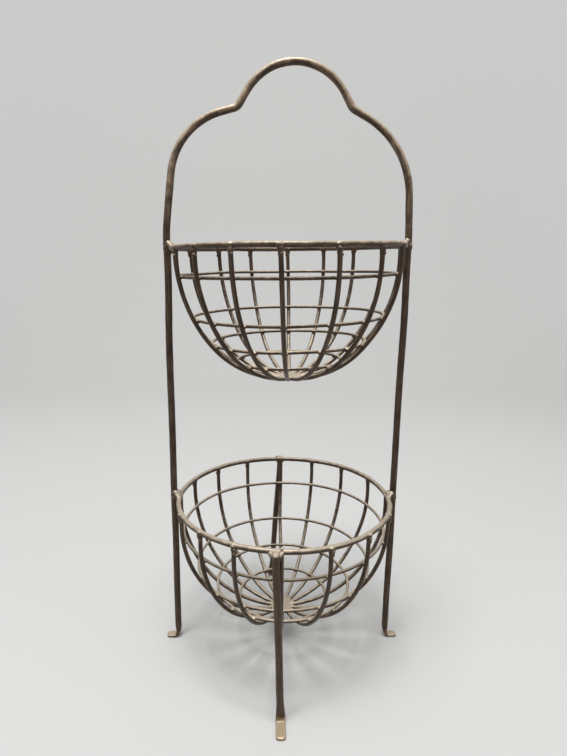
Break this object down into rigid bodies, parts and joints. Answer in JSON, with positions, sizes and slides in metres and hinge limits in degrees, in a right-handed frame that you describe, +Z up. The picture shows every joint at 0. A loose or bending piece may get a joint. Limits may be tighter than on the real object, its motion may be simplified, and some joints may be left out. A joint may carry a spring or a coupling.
{
  "type": "tiered wire basket",
  "caption": "Free-standing stand of dark bent iron rod with an arched carrying handle and round open wire bowl baskets welded one above the other.",
  "frame": {"origin": "on the floor, under the middle of the four feet", "axes": "+Z up, -Y the front with the short leg that the picture shows nearest, +X to the right in the picture"},
  "size_m": [0.2972, 0.3162, 0.6835],
  "materials": {
    "iron": "semi-gloss dark brown",
    "welds": "rough semi-gloss dark brown"
  },
  "bodies": {
    "root": {"frame_hoop": "iron", "frame_welds": "welds", "front_leg": "iron", "leg_welds": "welds", "lower_hub": "welds", "lower_rib_01": "iron", "lower_rib_02": "iron", "lower_rib_03": "iron", "lower_rib_04": "iron", "lower_rib_05": "iron", "lower_rib_06": "iron", "lower_rib_07": "iron", "lower_rib_08": "iron", "lower_rib_09": "iron", "lower_rib_10": "iron", "lower_rib_11": "iron", "lower_rib_12": "iron", "lower_rib_13": "iron", "lower_rib_14": "iron", "lower_rib_15": "iron", "lower_rib_16": "iron", "lower_rim": "iron", "lower_rim_welds": "welds", "lower_ring_2": "iron", "lower_ring_3": "iron", "lower_ring_4": "iron", "lower_ring_5": "iron", "lower_ring_welds": "welds", "rear_leg": "iron", "upper_hub": "welds", "upper_rib_01": "iron", "upper_rib_02": "iron", "upper_rib_03": "iron", "upper_rib_04": "iron", "upper_rib_05": "iron", "upper_rib_06": "iron", "upper_rib_07": "iron", "upper_rib_08": "iron", "upper_rib_09": "iron", "upper_rib_10": "iron", "upper_rib_11": "iron", "upper_rib_12": "iron", "upper_rib_13": "iron", "upper_rib_14": "iron", "upper_rib_15": "iron", "upper_rib_16": "iron", "upper_rim": "iron", "upper_rim_welds": "welds", "upper_ring_2": "iron", "upper_ring_3": "iron", "upper_ring_4": "iron", "upper_ring_5": "iron", "upper_ring_welds": "welds"}
  },
  "joints": []
}
